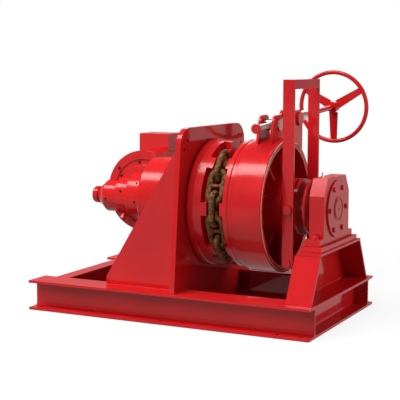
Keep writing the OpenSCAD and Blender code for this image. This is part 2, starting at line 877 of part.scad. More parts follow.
module shaft_end_plate() {
    plate_r = 58;
    plate = 5;
    screw_r = 7;
    head = 4;
    color(steel) {
        on_shaft(shaft_end) cylinder(r = plate_r, h = plate);
        on_shaft(shaft_end + plate) around(3, plate_r / 2) hex_head(screw_r, head);
    }
}

// Chain wheel, drum and chain

bore_r = shaft_r + run_gap + bush_t + seat_gap;
floor_r = pitch_r - wire_d / 2 - free_gap;
chain_x = wheel_x + chain_inset;
slot_gap = 6;
slot_w = wire_d + 2 * slot_gap;
slot_floor_gap = 18;
slot_r = pitch_r - link_w / 2 - slot_floor_gap;
lug_w = 36;
lug_drop = 14;
lug_arc = 12.5;
rim_step = 4;

// Wheel body turned from one profile, with a pocket cut out of it for each flat link
module chain_wheel() {
    left = wheel_x + wheel_left_w;
    right = wheel_end - wheel_right_w;
    lug_r = wheel_r - lug_drop;
    pocket_arc = 360 / pockets - lug_arc;
    color(red) on_shaft(0) difference() {
        rotate_extrude() polygon([
            [bore_r, wheel_x], [wheel_r, wheel_x], [wheel_r, wheel_x + wheel_rim_w],
            [wheel_r - rim_step, wheel_x + wheel_rim_w + rim_step / 2],
            [lug_r, chain_x - lug_w], [floor_r, chain_x - lug_w], [floor_r, chain_x - slot_w / 2],
            [slot_r, chain_x - slot_w / 2], [slot_r, chain_x + slot_w / 2],
            [floor_r, chain_x + slot_w / 2], [floor_r, chain_x + lug_w], [lug_r, chain_x + lug_w],
            [lug_r, right], [wheel_r, right + rim_step], [wheel_r, wheel_end - wheel_right_w / 2],
            [wheel_r - rim_step, wheel_end - wheel_right_w / 2 + rim_step],
            [wheel_r - rim_step, wheel_end], [bore_r, wheel_end]]);
        for (i = [0 : pockets - 1]) rotate([0, 0, (i * 360 + lug_arc * pockets / 2) / pockets])
            rotate_extrude(angle = pocket_arc) translate([floor_r, left])
                square([wheel_r - floor_r + cut, right - left]);
    }
}

module hub_bushes() {
    bush_l = wheel_w / 3;
    color("#b08d57") {
        on_shaft(wheel_x) ring(bore_r - seat_gap, shaft_r + run_gap, bush_l);
        on_shaft(hub_end - bush_l) ring(bore_r - seat_gap, shaft_r + run_gap, bush_l);
    }
}

ribs = 8;
rib_t = 14;
rib_depth = 96;

module brake_drum() {
    inner_r = drum_r - drum_rim_t;
    web_end = wheel_end + drum_web_t;
    color(red) on_shaft(0) {
        rotate_extrude() polygon([
            [bore_r, wheel_end], [drum_r, wheel_end], [drum_r, drum_end], [inner_r, drum_end],
            [inner_r, web_end], [hub_r, web_end], [hub_r, hub_end], [bore_r, hub_end]]);
        for (i = [0 : ribs - 1]) rotate([90, 0, (i + 0.5) * 360 / ribs])
            translate([0, 0, -rib_t / 2]) linear_extrude(rib_t) polygon([
                [hub_r - cut, web_end - cut], [inner_r + cut, web_end - cut],
                [inner_r + cut, web_end + rib_depth / 2], [hub_r - cut, web_end + rib_depth]]);
    }
}

// Screws that hold the drum's web on the chain wheel
module drum_bolts() {
    screw_r = 15;
    head = 12;
    color(red) on_shaft(wheel_end + drum_web_t)
        around(ribs, (drum_r + hub_r) / 2 + screw_r) hex_head(screw_r, head);
}

skirt_t = 9;
skirt_gap = 1.5;
skirt_r = hub_r - skirt_t;

// Ring on the end of the drum's hub with four jaws inside a skirt
module dog_ring() {
    gap_arc = 50;
    color(red) difference() {
        on_shaft(hub_end) ring(hub_r, jaw_r, 2 * jaw_t);
        on_shaft(0) for (i = [0 : 3]) rotate([0, 0, i * 90 + 45 - gap_arc / 2])
            rotate_extrude(angle = gap_arc) translate([jaw_r - cut, dog_end])
                square([skirt_r - jaw_r + cut, jaw_t + cut]);
    }
}

// One stud link lying in the local X-Y plane with its length along Y
module stud_link() {
    wire_r = wire_d / 2;
    bend_r = link_w / 2 - wire_r;
    straight = link_l / 2 - link_w / 2;
    stud_share = 0.7;
    stud_r = wire_r * stud_share;
    for (s = [0, 180]) rotate([0, 0, s]) {
        translate([0, straight, 0]) rotate_extrude(angle = 180) translate([bend_r, 0])
            circle(r = wire_r, $fn = 32);
        translate([bend_r, -straight, 0]) rotate([-90, 0, 0])
            cylinder(r = wire_r, h = 2 * straight, $fn = 32);
    }
    translate([-bend_r, 0, 0]) rotate([0, 90, 0]) cylinder(r = stud_r, h = 2 * bend_r, $fn = 32);
}

// Five links in the front pockets, flat and standing in turn
module chain() {
    pocket_angle = 360 / pockets;
    color(rust) on_shaft(chain_x) for (i = [-2 : 2])
        rotate([0, 0, 180 + i * pocket_angle / 2]) translate([pitch_r, 0, 0])
            rotate([0, i % 2 == 0 ? 0 : 90, 0]) stud_link();
}

// Clutch sleeve and lever

module clutch_sleeve() {
    sleeve_arc = 40;
    chamfer = 3;
    side_gap = 0.3;
    color(red) on_shaft(0) difference() {
        union() {
            rotate_extrude() polygon([
                [shaft_r + run_gap, sleeve_x], [hub_r, sleeve_x],
                [hub_r, shift_x - groove_w / 2], [hub_r - groove_t, shift_x - groove_w / 2],
                [hub_r - groove_t, shift_x + groove_w / 2], [hub_r, shift_x + groove_w / 2],
                [hub_r, sleeve_end - chamfer], [hub_r - chamfer, sleeve_end],
                [shaft_r + run_gap, sleeve_end]]);
            for (i = [0 : 3]) rotate([0, 0, i * 90 + 45 - sleeve_arc / 2])
                rotate_extrude(angle = sleeve_arc) translate([jaw_r, sleeve_x - jaw_t])
                    square([skirt_r - skirt_gap - jaw_r, jaw_t + cut]);
        }
        for (i = [0 : 3]) rotate([0, 0, i * 90])
            translate([shaft_r - key_sink, -key_w / 2 - side_gap, sleeve_x - cut])
                cube([key_sink + key_rise + side_gap, key_w + 2 * side_gap, sleeve_w + 2 * cut]);
    }
}

shift_pin_r = 11;
shoe_gap = 0.5;

// Two flat bars joined by a cross bar at the top
module lever_frame() {
    color(red) difference() {
        union() {
            for (s = [-1, 1])
                along_y(s > 0 ? lever_y : -lever_y + lever_t) linear_extrude(lever_t) union() {
                    translate([shift_x - lever_w / 2, lever_pivot_z])
                        square([lever_w, lever_top - lever_pivot_z]);
                    translate([shift_x, lever_pivot_z]) circle(d = lever_w);
                }
            translate([shift_x + lever_w / 2 - lever_t, -lever_y, lever_top - lever_bar_h])
                cube([lever_t, 2 * lever_y, lever_bar_h]);
        }
        for (p = [[lever_pivot_z, pivot_r + run_gap], [shaft_z, shift_pin_r + seat_gap]])
            along_y(lever_y + cut) translate([shift_x, p[0], 0])
                cylinder(r = p[1], h = 2 * lever_y + 2 * cut);
    }
}

// Pins through the bars with shoes in the sleeve's groove
module shifter_pins() {
    head = 15;
    tip_gap = 3.6;
    tip = hub_r - groove_t + tip_gap;
    shoe = hub_r - tip;
    color(red) for (s = [-1, 1]) translate([shift_x, 0, shaft_z]) rotate([-s * 90, 0, 0]) {
        translate([0, 0, tip]) cylinder(r = groove_w / 2 - shoe_gap, h = shoe + cut);
        translate([0, 0, hub_r + cut]) cylinder(r = shift_pin_r, h = lever_y - hub_r);
        translate([0, 0, lever_y]) cylinder(r = shift_head_r, h = head);
    }
}

// Band brake

spindle_lift = tan(spindle_slope);
front_pin = [front_lug_y, shaft_z + lug_rise];
rear_pin = [rear_lug_y, shaft_z + lug_rise + (rear_lug_y - front_lug_y) * spindle_lift];
lug_margin = 10;
lug_flare = 58;
front_end_y = front_lug_y + lug_r + lug_margin;
rear_end_y = rear_lug_y - lug_r - lug_flare - lug_margin;
band_half_gap = 3;
foot_arc = asin(band_half_gap / (band_r - band_t - lining_t));
foot_angle = 270 + anchor_turn;
front_arc = acos(front_end_y / band_r);
rear_arc = acos(rear_end_y / band_r);

// Part of a ring round the drum between two angles from +Y
module band_arc(r_in, r_out, from, to, w) {
    on_shaft(band_x) rotate([0, 0, from]) rotate_extrude(angle = to - from)
        translate([r_in, 0]) square([r_out - r_in, w]);
}

// Pair of lugs round one trunnion, reaching down into the band
module lug_pair(pin) {
    sink = band_t / 2;
    for (s = [-1, 1])
        along_x(band_mid + s * (lug_space + lug_t) / 2 - lug_t / 2) linear_extrude(lug_t)
            difference() {
                union() {
                    translate(pin) circle(r = lug_r);
                    translate(pin - [lug_flat, 0]) circle(r = lug_r);
                    translate(pin - [lug_flat, 0]) square([lug_flat, lug_r]);
                    polygon([pin - [lug_r + lug_flat, 0], pin + [lug_r, 0], [pin[0] + lug_r, shaft_z],
                        [pin[0] - lug_r - lug_flare, shaft_z],
                        [pin[0] - lug_r - lug_flare,
                            shaft_z + sqrt(pow(band_r, 2) - pow(pin[0] - lug_r - lug_flare, 2))]]);
                }
                translate([0, shaft_z]) circle(r = band_r - sink);
                translate(pin) circle(r = trunnion_r + seat_gap);
            }
}

eye_gap = 1;
eye_web = 70;

// Turns what is drawn straight under the shaft to the anchor pin's place
module to_anchor() {
    translate([0, 0, shaft_z]) rotate([anchor_turn, 0, 0]) children();
}

// Knuckles that carry one band half on the anchor pin
module eyes(side, places) {
    eye_w = band_w / 5;
    root_share = 0.9;
    for (i = places) to_anchor() along_x(band_x + i * eye_w + eye_gap / 2)
        linear_extrude(eye_w - eye_gap) difference() {
            union() {
                translate([0, -anchor_reach]) circle(r = eye_r);
                polygon([[side * band_half_gap, -anchor_reach],
                    [side * band_half_gap, 2 * cut - band_r],
                    [side * eye_web, 2 * cut - band_r + eye_web / 8], [side * eye_web, -band_r],
                    [side * eye_r * root_share, -anchor_reach - eye_r / 3]]);
            }
            translate([0, -anchor_reach]) circle(r = anchor_r + run_gap);
            circle(r = band_r - band_t / 2);
        }
}

module front_band() {
    color(red) {
        band_arc(band_r - band_t, band_r, front_arc, foot_angle - foot_arc, band_w);
        lug_pair(front_pin);
        eyes(-1, [0, 2, 4]);
    }
}

module rear_band() {
    color(red) {
        band_arc(band_r - band_t, band_r, foot_angle - 360 + foot_arc, rear_arc, band_w);
        lug_pair(rear_pin);
        eyes(1, [1, 3]);
    }
}

lining_lip = 2;

module front_lining() {
    color(beige) band_arc(band_r - band_t - lining_t, band_r - band_t - seat_gap, front_arc + foot_arc,
        foot_angle - 2 * foot_arc, band_w + lining_lip);
}

module rear_lining() {
    color(beige) band_arc(band_r - band_t - lining_t, band_r - band_t - seat_gap,
        foot_angle - 360 + 2 * foot_arc, rear_arc - foot_arc, band_w + lining_lip);
}

// Puts the spindle's axis on local Z, with the rear trunnion at the origin
module on_spindle(l) {
    translate([band_mid, rear_pin[0], rear_pin[1]]) rotate([spindle_slope - 90, 0, 0])
        translate([0, 0, l]) children();
}

trunnion_out = 8;
trunnion_head_r = 37;
trunnion_head = 12;

// Cross pin in a pair of lugs, bored along the spindle
module trunnion(pin, bore, head) {
    reach = lug_space / 2 + lug_t + trunnion_out;
    difference() {
        union() {
            translate([0, pin[0], pin[1]]) along_x(band_mid - reach)
                cylinder(r = trunnion_r, h = 2 * reach);
            if (head) translate([0, pin[0], pin[1]]) along_x(band_mid + reach - trunnion_out + free_gap)
                cylinder(r = trunnion_head_r, h = trunnion_head);
        }
        translate([band_mid, pin[0], pin[1]]) rotate([spindle_slope - 90, 0, 0])
            translate([0, 0, -2 * trunnion_r]) cylinder(r = bore, h = 4 * trunnion_r);
    }
}

module front_trunnion() { color(steel) trunnion(front_pin, spindle_r + nut_gap, false); }
module rear_trunnion() { color(red) trunnion(rear_pin, spindle_r + run_gap, true); }

spindle_tail = 205;
end_disc_r = 27;
end_disc = 12;
collar_l = 14;
thrust_l = 150;

// Threaded spindle with its end disc, collar and thrust sleeve
module spindle() {
    front_reach = (rear_lug_y - front_lug_y) / cos(spindle_slope) + spindle_tail;
    color(steel) {
        on_spindle(-front_reach) cylinder(r = spindle_r, h = front_reach + handwheel_l);
        on_spindle(-front_reach) cylinder(r = end_disc_r, h = end_disc);
        on_spindle(-trunnion_r - free_gap - collar_l) cylinder(r = thrust_r, h = collar_l);
        on_spindle(trunnion_r + free_gap) cylinder(r = thrust_r, h = thrust_l);
    }
}

hub_l = 52;
spoke_t = 10;
spoke_root = 52;
spoke_tip = 37;

// Rim, hub and three flat spokes, one of them straight down
module handwheel() {
    track = handwheel_r - rim_r;
    color(red) on_spindle(handwheel_l) {
        rotate_extrude() translate([track, 0]) circle(r = rim_r, $fn = 32);
        difference() {
            translate([0, 0, -hub_l / 2]) cylinder(r = wheel_hub_r, h = hub_l);
            translate([0, 0, -hub_l]) cylinder(r = spindle_r + seat_gap, h = hub_l);
        }
        for (a = [90, 210, 330]) rotate([0, 0, a]) translate([0, 0, -spoke_t / 2])
            linear_extrude(spoke_t) polygon([
                [wheel_hub_r - cut, -spoke_root / 2], [track, -spoke_tip / 2],
                [track, spoke_tip / 2], [wheel_hub_r - cut, spoke_root / 2]]);
    }
}

anchor_y = anchor_reach * sin(anchor_turn);
anchor_z = shaft_z - anchor_reach * cos(anchor_turn);
bracket_wall = 15;
bracket_l = 120;

// Boss on the gearbox plate that carries the brake band's anchor pin, with a level rib
module anchor_bracket() {
    rib_b = 90;
    boss_r = anchor_r + bracket_wall;
    color(red) difference() {
        union() {
            along_x(plate_face) translate([anchor_y, anchor_z, 0]) cylinder(r = boss_r, h = bracket_l);
            translate([0, anchor_y, anchor_z - bracket_wall / 2]) linear_extrude(bracket_wall) polygon([
                [plate_face, 0], [plate_face, boss_r + rib_b], [plate_face + bracket_l, boss_r],
                [plate_face + bracket_l, 0]]);
        }
        along_x(plate_face + bracket_l / 3) translate([anchor_y, anchor_z, 0])
            cylinder(r = anchor_r + seat_gap, h = bracket_l);
    }
}

module anchor_pin() {
    washer = 8;
    tail = free_gap + washer;
    start = plate_face + bracket_l / 3;
    color(steel) translate([0, anchor_y, anchor_z]) {
        along_x(start) cylinder(r = anchor_r, h = drum_end + tail - start);
        along_x(drum_end + free_gap) cylinder(r = eye_r - washer / 2, h = washer);
    }
}

front_beam();
rear_beam();
left_cross_beam();
middle_cross_beam();
right_cross_beam();
gearbox_plate();
front_gusset();
rear_gusset();
gearbox_housing();
output_bearing();
gearbox_screws();
input_stages();
brake_housing();
nose_cap();
stage_plugs();
motor_body();
motor_cover();
motor_screws();
valve_block();
valve_lid();
valve_screws();
port_fittings();
pedestal_front_leg();
pedestal_rear_leg();
pedestal_web();
pedestal_top_plate();
shim();
bearing_housing();
bearing_outer_ring();
bearing_cover();
cover_screws();
foot_bolts();
grease_nipple();
lever_brackets();
lever_pivot_pins();
anchor_bracket();
anchor_pin();
drive_shaft();
feather_keys();
stop_disc();
bearing_inner_ring();
bearing_rollers();
shaft_end_plate();
chain_wheel();
hub_bushes();
brake_drum();
drum_bolts();
dog_ring();
chain();
clutch_sleeve();
lever_frame();
shifter_pins();
front_band();
front_lining();
front_trunnion();
rear_band();
rear_lining();
rear_trunnion();
spindle();
handwheel();
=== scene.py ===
"""Hydraulic chain winch: finishes, chain, screws, weld beads, light and camera round the frame."""

import json
import logging
import math
from dataclasses import dataclass, field
from enum import Enum
from typing import Any

import bmesh
import bpy
from mathutils import Matrix, Vector


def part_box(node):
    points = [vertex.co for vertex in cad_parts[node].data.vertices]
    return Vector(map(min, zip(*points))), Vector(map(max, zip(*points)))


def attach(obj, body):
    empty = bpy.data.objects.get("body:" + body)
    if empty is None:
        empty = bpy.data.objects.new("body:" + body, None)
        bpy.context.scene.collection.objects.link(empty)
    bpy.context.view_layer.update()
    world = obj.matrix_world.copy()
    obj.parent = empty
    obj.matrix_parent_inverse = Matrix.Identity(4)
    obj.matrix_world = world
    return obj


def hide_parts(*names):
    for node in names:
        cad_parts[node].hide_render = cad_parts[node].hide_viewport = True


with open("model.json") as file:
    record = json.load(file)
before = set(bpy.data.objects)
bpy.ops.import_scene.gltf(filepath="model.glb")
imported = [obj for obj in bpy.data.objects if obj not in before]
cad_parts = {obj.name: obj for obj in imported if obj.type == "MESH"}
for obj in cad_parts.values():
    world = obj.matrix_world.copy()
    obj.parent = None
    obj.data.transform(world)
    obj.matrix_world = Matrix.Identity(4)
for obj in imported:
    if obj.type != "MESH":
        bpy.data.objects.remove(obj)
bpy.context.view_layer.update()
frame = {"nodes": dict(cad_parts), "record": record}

LOG = logging.getLogger("winch")
MM = 0.001
ON_SHAFT = Matrix(((0, 0, 1, 0), (1, 0, 0, 0), (0, 1, 0, 0), (0, 0, 0, 1)))


class Body(Enum):
    """The moving bodies of the winch."""

    SKID = "skid"
    SHAFT = "shaft"
    WHEEL = "wheel"
    CLUTCH = "clutch"
    LEVER = "lever"
    FRONT_BAND = "front_band_half"
    REAR_BAND = "rear_band_half"
    SPINDLE = "handwheel_spindle"


class Slot(Enum):
    """The material slots of the part's record."""

    RED = "red_paint"
    STEEL = "bare_steel"
    RUST = "rusty_steel"
    BRONZE = "bronze"
    LINING = "brake_lining"


def linear(code: str) -> tuple[float, float, float, float]:
    """Turns an sRGB hex colour into linear light.

    Args:
        code: A colour such as "#c01218".

    Returns:
        Red, green, blue and a full alpha.
    """
    parts = [int(code[i : i + 2], 16) / 255 for i in (1, 3, 5)]
    return (*(c / 12.92 if c <= 0.04045 else ((c + 0.055) / 1.055) ** 2.4 for c in parts), 1.0)


def add_node(
    tree: bpy.types.NodeTree,
    kind: str,
    values: dict[Any, Any] | None = None,
    links: dict[Any, bpy.types.NodeSocket] | None = None,
    **settings: Any,
) -> bpy.types.Node:
    """Adds one node with its settings, values and incoming links.

    Args:
        tree: The node tree that gets the node.
        kind: The node's type name.
        values: Input name or number to value.
        links: Input name or number to the socket that feeds it.
        **settings: Properties of the node itself.

    Returns:
        The new node.
    """
    node = tree.nodes.new(kind)
    for name, value in settings.items():
        setattr(node, name, value)
    for key, value in (values or {}).items():
        node.inputs[key].default_value = value
    for key, socket in (links or {}).items():
        tree.links.new(socket, node.inputs[key])
    return node


@dataclass(frozen=True)
class Finish:
    """A surface finish: its name, its record slot and its typical shader values."""

    name: str
    slot: Slot
    colour: str
    second: str
    metallic: float
    roughness: float
    third: str = ""
    specular: float = 0.5
    coat: float = 0.0
    coat_roughness: float = 0.03
    edge_mm: float = 0.0
    grain_mm: float = 8.0
    grain_depth_mm: float = 0.0
    patch_mm: float = 120.0
    patch_contrast: tuple[float, float] = (0.35, 0.65)
    stretch: tuple[float, float, float] = (1.0, 1.0, 1.0)
    rough_spread: float = 0.0

    def material(self) -> bpy.types.Material:
        """Builds the material once and hands it out again.

        Returns:
            The Blender material of this finish.
        """
        found = bpy.data.materials.get(self.name)
        if found:
            return found
        made = bpy.data.materials.new(self.name)
        made.use_nodes = True
        tree = made.node_tree
        tree.nodes.clear()
        place = add_node(tree, "ShaderNodeTexCoord")
        spread = add_node(
            tree, "ShaderNodeMapping", {"Scale": self.stretch}, {"Vector": place.outputs["Object"]}
        )
        patches = add_node(
            tree,
            "ShaderNodeTexNoise",
            {"Scale": 1 / (self.patch_mm * MM), "Detail": 4.0, "Roughness": 0.55},
            {"Vector": place.outputs["Object"]},
        )
        ramp = add_node(tree, "ShaderNodeValToRGB", links={"Fac": patches.outputs["Fac"]})
        ramp.color_ramp.elements[0].position = self.patch_contrast[0]
        ramp.color_ramp.elements[1].position = self.patch_contrast[1]
        ramp.color_ramp.elements[0].color = linear(self.second)
        ramp.color_ramp.elements[1].color = linear(self.colour)
        if self.third:
            between = ramp.color_ramp.elements.new(sum(self.patch_contrast) / 2)
            between.color = linear(self.third)
        grain = add_node(
            tree,
            "ShaderNodeTexNoise",
            {"Scale": 1 / (self.grain_mm * MM), "Detail": 3.0, "Roughness": 0.6},
            {"Vector": spread.outputs["Vector"]},
        )
        shader = add_node(
            tree,
            "ShaderNodeBsdfPrincipled",
            {
                "Metallic": self.metallic,
                "Roughness": self.roughness,
                "Specular IOR Level": self.specular,
                "Coat Weight": self.coat,
                "Coat Roughness": self.coat_roughness,
            },
            {"Base Color": ramp.outputs["Color"]},
        )
        if self.rough_spread:
            rough = add_node(
                tree,
                "ShaderNodeMapRange",
                {
                    "To Min": self.roughness - self.rough_spread,
                    "To Max": self.roughness + self.rough_spread,
                },
                {"Value": grain.outputs["Fac"]},
            )
            tree.links.new(rough.outputs["Result"], shader.inputs["Roughness"])
        normal = None
        if self.edge_mm:
            normal = add_node(tree, "ShaderNodeBevel", {"Radius": self.edge_mm * MM}, samples=4)
        if self.grain_depth_mm:
            bump = add_node(
                tree,
                "ShaderNodeBump",
                {"Distance": self.grain_depth_mm * MM, "Strength": 1.0},
                {"Height": grain.outputs["Fac"]},
            )
            if normal:
                tree.links.new(normal.outputs["Normal"], bump.inputs["Normal"])
            normal = bump
        if normal:
            tree.links.new(normal.outputs["Normal"], shader.inputs["Normal"])
            if self.coat:
                tree.links.new(normal.outputs["Normal"], shader.inputs["Coat Normal"])
        add_node(
            tree, "ShaderNodeOutputMaterial", links={"Surface": shader.outputs["BSDF"]}
        )
        return made


# Sprayed enamel on plate and rolled steel: deep red, a thin clear sheen, a faint orange peel
ENAMEL = Finish(
    "gloss_red_enamel", Slot.RED, "#c8191d", "#bd161a", 0.0, 0.5, specular=0.02, coat=0.5,
    coat_roughness=0.07, edge_mm=1.6, grain_mm=5.0, grain_depth_mm=0.012, patch_mm=400.0,
)
# The same enamel over as-cast iron: the sand mould's slow waves soften its highlights
ENAMEL_CAST = Finish(
    "gloss_red_enamel_on_castings", Slot.RED, "#c8191d", "#b81519", 0.0, 0.5, specular=0.02,
    coat=0.5, coat_roughness=0.17, edge_mm=2.4, grain_mm=9.0, grain_depth_mm=0.06, patch_mm=250.0,
)
# Forged chain steel left outdoors: matt rust with olive scale, dark pits and a pitted surface
SCALE = Finish(
    "weathered_forged_steel", Slot.RUST, "#8a5524", "#1c130a", 0.0, 0.8, third="#5a4316",
    grain_mm=6.0, grain_depth_mm=1.6, patch_mm=16.0, patch_contrast=(0.34, 0.64),
    rough_spread=0.12,
)
# Ground and turned steel: fine lines round the part give a soft sheen; the warm pink in both its
# colours is a painted reflection of the surrounding red paint, over the steel's own pale grey
TURNED = Finish(
    "turned_steel_with_painted_red_reflection", Slot.STEEL, "#d0c2ba", "#bcaca4", 1.0, 0.3, edge_mm=0.8, grain_mm=2.0,
    grain_depth_mm=0.01, patch_mm=90.0, stretch=(6.0, 0.4, 0.4), rough_spread=0.08,
)
# Black-oxide screws: nearly black metal with a soft haze
BLACKENED = Finish(
    "black_oxide_steel", Slot.STEEL, "#3a302e", "#2c2422", 1.0, 0.42, edge_mm=0.6, grain_mm=3.0,
    grain_depth_mm=0.01, patch_mm=40.0, rough_spread=0.06,
)
# Cast tin bronze, bored: warm metal
BRONZE = Finish(
    "bored_tin_bronze", Slot.BRONZE, "#b08a55", "#94703f", 1.0, 0.36, edge_mm=0.6, grain_mm=2.5,
    grain_depth_mm=0.01, patch_mm=60.0, rough_spread=0.06,
)
# Woven friction lining: matt beige with short fibres
WOVEN = Finish(
    "woven_brake_lining", Slot.LINING, "#e6cca6", "#d6b98f", 0.0, 0.85, grain_mm=2.0,
    grain_depth_mm=0.25, patch_mm=12.0, stretch=(1.0, 2.5, 2.5), rough_spread=0.08,
)


def add_piece(
    name: str, mesh: bpy.types.Mesh, body: Body, finish: Finish, stands_for: tuple[str, ...] = ()
) -> bpy.types.Object:
    """Puts a finished mesh in the scene, on its body.

    Args:
        name: The piece's name.
        mesh: The mesh, already in place in the winch's frame.
        body: The body that it moves with.
        finish: Its finish.
        stands_for: CAD nodes that it shows in their place.

    Returns:
        The new object.
    """
    piece = bpy.data.objects.new(name, mesh)
    bpy.context.scene.collection.objects.link(piece)
    if not mesh.materials:
        mesh.materials.append(finish.material())
    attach(piece, body.value)
    if stands_for:
        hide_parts(*stands_for)
    LOG.info("%s: %d faces on %s", name, len(mesh.polygons), body.value)
    return piece


def turned(
    profile: list[tuple[float, float]], place: Matrix, finish: Finish, sides: int = 48
) -> bpy.types.Mesh:
    """Turns a closed piece from its profile.

    Args:
        profile: Places along the local Z axis with their radii, from end to end.
        place: Where the local frame lies in the winch's frame.
        finish: The finish of every face.
        sides: Faces round the piece.

    Returns:
        The piece's mesh, smooth round its axis and sharp at its corners.
    """
    made = bmesh.new()
    rings = []
    for along, radius in profile:
        turns = [2 * math.pi * j / sides for j in range(sides)]
        rings.append(
            [made.verts.new((radius * math.cos(a), radius * math.sin(a), along)) for a in turns]
        )
    for ring, ahead in zip(rings, rings[1:]):
        for j in range(sides):
            k = (j + 1) % sides
            made.faces.new((ring[j], ring[k], ahead[k], ahead[j]))
    made.faces.new(rings[0][::-1])
    made.faces.new(rings[-1])
    bmesh.ops.recalc_face_normals(made, faces=made.faces[:])
    mesh = bpy.data.meshes.new("turned")
    made.to_mesh(mesh)
    made.free()
    mesh.transform(place)
    mesh.shade_smooth()
    mesh.set_sharp_from_angle(angle=math.radians(35))
    mesh.materials.append(finish.material())
    return mesh


def middle(node: str) -> Vector:
    """Finds the middle of a CAD node's box.

    Args:
        node: The node's name.

    Returns:
        The middle, in metres.
    """
    low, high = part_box(node)
    return (Vector(low) + Vector(high)) / 2


class Rule:
    """A geometry tree with named inputs, grown into a plain mesh."""

    def __init__(self, name: str, inputs: dict[str, tuple[str, Any]]) -> None:
        """Opens the tree and its inputs.

        Args:
            name: Name of the tree.
            inputs: Input name to its socket type and value.
        """
        self.tree = bpy.data.node_groups.new(name, "GeometryNodeTree")
        self.sockets: dict[str, Any] = {}
        self.values = {key: value for key, (_, value) in inputs.items()}
        face = self.tree.interface
        face.new_socket(name="Geometry", in_out="INPUT", socket_type="NodeSocketGeometry")
        for key, (kind, _) in inputs.items():
            self.sockets[key] = face.new_socket(name=key, in_out="INPUT", socket_type=kind)
        face.new_socket(name="Geometry", in_out="OUTPUT", socket_type="NodeSocketGeometry")
        self.start = self.tree.nodes.new("NodeGroupInput")

    def add(
        self,
        kind: str,
        values: dict[Any, Any] | None = None,
        links: dict[Any, bpy.types.NodeSocket] | None = None,
        **settings: Any,
    ) -> bpy.types.Node:
        """Adds a node to this tree, as add_node does.

        Args:
            kind: The node's type name.
            values: Input name or number to value.
            links: Input name or number to the socket that feeds it.
            **settings: Properties of the node itself.

        Returns:
            The new node.
        """
        return add_node(self.tree, kind, values, links, **settings)

    def given(self, name: str) -> bpy.types.NodeSocket:
        """Finds the socket of one named input.

        Args:
            name: The input's name.

        Returns:
            The socket that gives its value.
        """
        return self.start.outputs[name]

    def grow(
        self, last: bpy.types.NodeSocket, finish: Finish, seed_mesh: bpy.types.Mesh | None = None
    ) -> bpy.types.Mesh:
        """Ends the tree and turns its result into a mesh.

        Args:
            last: The geometry that the tree has made.
            finish: The finish of every face.
            seed_mesh: The mesh that the tree works on, if it takes one.

        Returns:
            A plain mesh with no instances.
        """
        real = self.add("GeometryNodeRealizeInstances", links={"Geometry": last})
        painted = self.add("GeometryNodeSetMaterial", links={"Geometry": real.outputs["Geometry"]})
        painted.inputs["Material"].default_value = finish.material()
        self.add("NodeGroupOutput", links={"Geometry": painted.outputs["Geometry"]})
        carrier = bpy.data.objects.new(
            self.tree.name, seed_mesh or bpy.data.meshes.new(self.tree.name)
        )
        bpy.context.scene.collection.objects.link(carrier)
        modifier = carrier.modifiers.new("rule", "NODES")
        modifier.node_group = self.tree
        for key, socket in self.sockets.items():
            modifier[socket.identifier] = self.values[key]
        graph = bpy.context.evaluated_depsgraph_get()
        mesh = bpy.data.meshes.new_from_object(carrier.evaluated_get(graph), depsgraph=graph)
        carrier.modifiers.remove(modifier)
        bpy.data.objects.remove(carrier)
        return mesh


